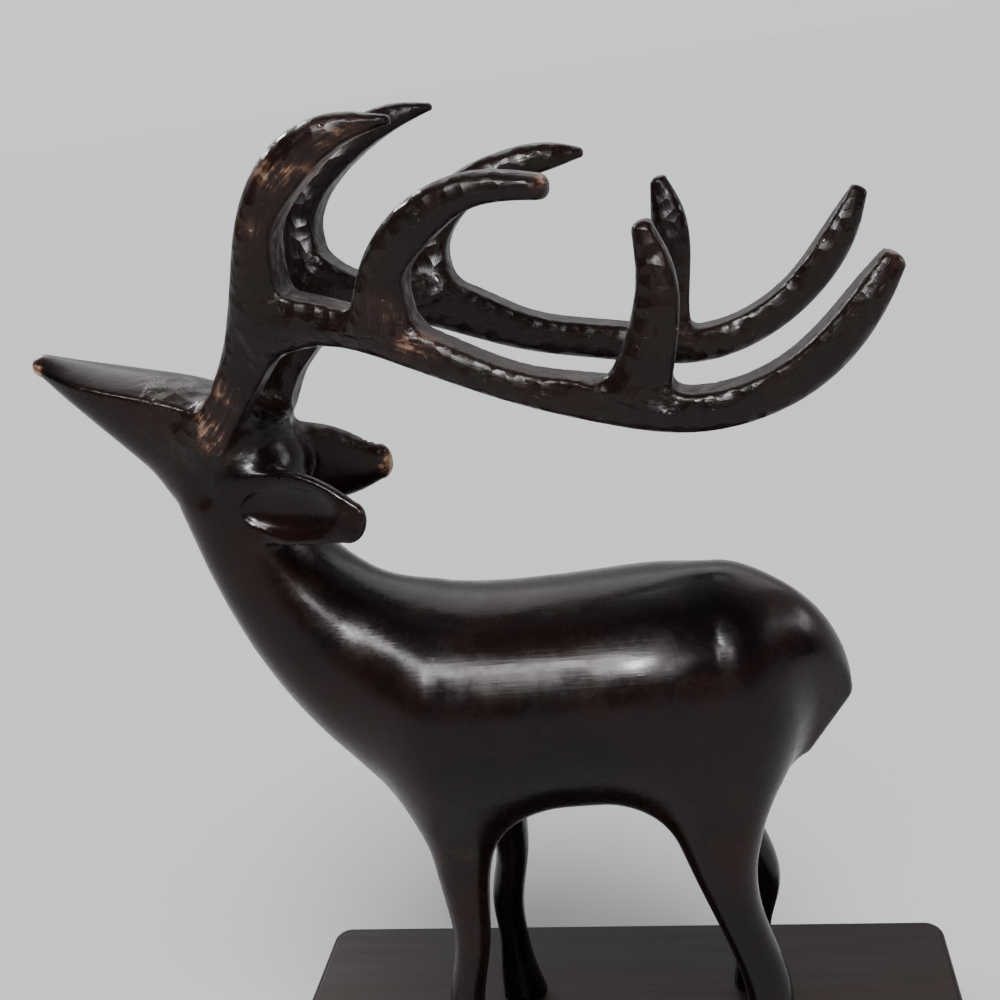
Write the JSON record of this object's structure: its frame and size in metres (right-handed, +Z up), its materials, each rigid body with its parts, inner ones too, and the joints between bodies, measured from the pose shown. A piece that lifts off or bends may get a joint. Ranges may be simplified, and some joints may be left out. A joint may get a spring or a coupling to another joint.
{
  "type": "stag statue",
  "caption": "Slender stag with its head thrown back and long swept antlers, cast in dark metal, standing on a rounded rectangular wooden board.",
  "frame": {"origin": "centre of the board's underside", "axes": "+Z up, -X the way the stag faces, -Y its left side; the board's long sides run along X"},
  "size_m": [0.203, 0.093, 0.2654],
  "materials": {
    "bronze": "dark brown patinated bronze, rubbed to copper at the edges, satin gloss",
    "wood": "dark reddish brown stained wood, satin"
  },
  "bodies": {
    "root": {"stag": "bronze", "base": "wood"}
  },
  "joints": []
}
